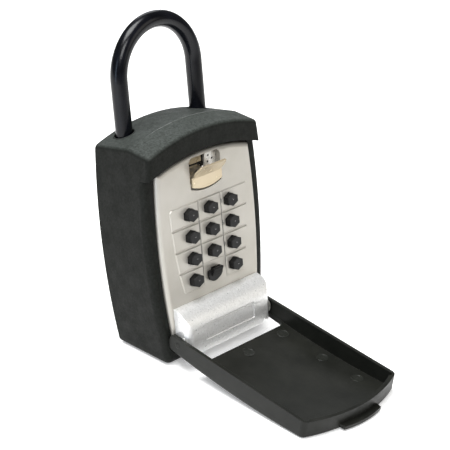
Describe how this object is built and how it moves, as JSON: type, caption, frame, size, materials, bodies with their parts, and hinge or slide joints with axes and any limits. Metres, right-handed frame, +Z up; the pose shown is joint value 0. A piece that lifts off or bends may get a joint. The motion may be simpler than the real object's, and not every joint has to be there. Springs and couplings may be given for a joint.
{
  "type": "key lock box",
  "caption": "Key safe with coated shackle, push-button door that folds down on a bottom hinge, and a hinged weather cover, in a rubber jacket.",
  "frame": {"origin": "middle of the case's flat bottom, where it stands on the ground", "axes": "+Z up, +X to the right of someone facing the keypad, -Y to the front; the case leans back 10.8 degrees on its sloped bottom, with the open cover's edge on the same ground"},
  "size_m": [0.091, 0.1765, 0.1819],
  "materials": {
    "rubber": "matte moulded",
    "case_metal": "painted die casting",
    "plated_steel": "zinc plated",
    "screw_steel": "plated",
    "spring_steel": "bright wire",
    "vinyl": "glossy dipped coat",
    "door_silver": "satin silver paint",
    "barrel_silver": "hammered silver paint",
    "mechanism_metal": "bare die casting",
    "brass": "turned",
    "chrome": "nickel plated",
    "cover_plastic": "satin moulded",
    "button_plastic": "satin moulded"
  },
  "bodies": {
    "case": {"rubber_jacket": "rubber", "case_housing": "case_metal", "release_cover_plate": "plated_steel", "release_plate_screws": "screw_steel", "release_spring": "spring_steel", "hinge_pin": "plated_steel"},
    "shackle": {"shackle_rod": "plated_steel", "shackle_sleeve": "vinyl", "heel_retaining_clip": "plated_steel"},
    "release_slide": {"shackle_release_slide": "button_plastic"},
    "door": {"door_face_plate": "door_silver", "hinge_barrel": "barrel_silver", "hinge_washers": "plated_steel", "mechanism_case": "mechanism_metal", "mechanism_screws": "screw_steel", "code_setting_studs": "brass", "spring_guide_plate": "plated_steel", "button_springs": "spring_steel", "latch_frame": "chrome", "latch_lever_pin": "plated_steel", "bolt_springs": "spring_steel"},
    "cover": {"weather_cover": "cover_plastic"},
    "lever": {"latch_lever": "chrome"},
    "bolt": {"latch_bolt": "chrome", "locking_plate": "plated_steel"},
    "clear": {"clear_lever": "button_plastic"},
    "key_one": {"button_one": "button_plastic"},
    "key_two": {"button_two": "button_plastic"},
    "key_three": {"button_three": "button_plastic"},
    "key_four": {"button_four": "button_plastic"},
    "key_five": {"button_five": "button_plastic"},
    "key_six": {"button_six": "button_plastic"},
    "key_seven": {"button_seven": "button_plastic"},
    "key_eight": {"button_eight": "button_plastic"},
    "key_nine": {"button_nine": "button_plastic"},
    "key_zero": {"button_zero": "button_plastic"},
    "key_enter": {"button_enter": "button_plastic"}
  },
  "joints": [
    {"name": "shackle_lift", "type": "slide", "parent": "case", "child": "shackle", "axis": [0, 0.1874, 0.9823], "range_m": [0, 0.02]},
    {"name": "shackle_release", "type": "slide", "parent": "case", "child": "release_slide", "axis": [1, 0, 0], "range_m": [0, 0.003], "stiffness_N_per_m": 400, "springref_m": -0.002, "deforming": ["release_spring"]},
    {"name": "door_hinge", "type": "hinge", "parent": "case", "child": "door", "pos_m": [0, -0.0264, 0.01521], "axis": [1, 0, 0], "range_deg": [0, 80]},
    {"name": "cover_hinge", "type": "hinge", "parent": "case", "child": "cover", "pos_m": [0, -0.0264, 0.01521], "axis": [1, 0, 0], "range_deg": [-106.05, 0]},
    {"name": "latch_turn", "type": "hinge", "parent": "door", "child": "lever", "pos_m": [0, -0.0029, 0.09574], "axis": [1, 0, 0], "range_deg": [0, 16], "stiffness_Nm_per_rad": 0.08, "springref_deg": -5.73},
    {"name": "bolt_lift", "type": "slide", "parent": "door", "child": "bolt", "axis": [0, 0.1874, 0.9823], "range_m": [0, 0.0022], "deforming": ["bolt_springs"]},
    {"name": "clear_slide", "type": "slide", "parent": "door", "child": "clear", "axis": [0, -0.1874, -0.9823], "range_m": [0, 0.003], "stiffness_N_per_m": 300, "springref_m": -0.002},
    {"name": "press_one", "type": "slide", "parent": "door", "child": "key_one", "axis": [0, 0.9823, -0.1874], "range_m": [0, 0.0016], "stiffness_N_per_m": 500, "springref_m": -0.001, "deforming": ["button_springs"]},
    {"name": "press_two", "type": "slide", "parent": "door", "child": "key_two", "axis": [0, 0.9823, -0.1874], "range_m": [0, 0.0016], "stiffness_N_per_m": 500, "springref_m": -0.001, "deforming": ["button_springs"]},
    {"name": "press_three", "type": "slide", "parent": "door", "child": "key_three", "axis": [0, 0.9823, -0.1874], "range_m": [0, 0.0016], "stiffness_N_per_m": 500, "springref_m": -0.001, "deforming": ["button_springs"]},
    {"name": "press_four", "type": "slide", "parent": "door", "child": "key_four", "axis": [0, 0.9823, -0.1874], "range_m": [0, 0.0016], "stiffness_N_per_m": 500, "springref_m": -0.001, "deforming": ["button_springs"]},
    {"name": "press_five", "type": "slide", "parent": "door", "child": "key_five", "axis": [0, 0.9823, -0.1874], "range_m": [0, 0.0016], "stiffness_N_per_m": 500, "springref_m": -0.001, "deforming": ["button_springs"]},
    {"name": "press_six", "type": "slide", "parent": "door", "child": "key_six", "axis": [0, 0.9823, -0.1874], "range_m": [0, 0.0016], "stiffness_N_per_m": 500, "springref_m": -0.001, "deforming": ["button_springs"]},
    {"name": "press_seven", "type": "slide", "parent": "door", "child": "key_seven", "axis": [0, 0.9823, -0.1874], "range_m": [0, 0.0016], "stiffness_N_per_m": 500, "springref_m": -0.001, "deforming": ["button_springs"]},
    {"name": "press_eight", "type": "slide", "parent": "door", "child": "key_eight", "axis": [0, 0.9823, -0.1874], "range_m": [0, 0.0016], "stiffness_N_per_m": 500, "springref_m": -0.001, "deforming": ["button_springs"]},
    {"name": "press_nine", "type": "slide", "parent": "door", "child": "key_nine", "axis": [0, 0.9823, -0.1874], "range_m": [0, 0.0016], "stiffness_N_per_m": 500, "springref_m": -0.001, "deforming": ["button_springs"]},
    {"name": "press_zero", "type": "slide", "parent": "door", "child": "key_zero", "axis": [0, 0.9823, -0.1874], "range_m": [0, 0.0016], "stiffness_N_per_m": 500, "springref_m": -0.001, "deforming": ["button_springs"]},
    {"name": "press_enter", "type": "slide", "parent": "door", "child": "key_enter", "axis": [0, 0.9823, -0.1874], "range_m": [0, 0.0016], "stiffness_N_per_m": 500, "springref_m": -0.001, "deforming": ["button_springs"]}
  ],
  "couplings": [
    {"joint": "bolt_lift", "follows": "latch_turn", "m_per_rad": 0.0077}
  ]
}
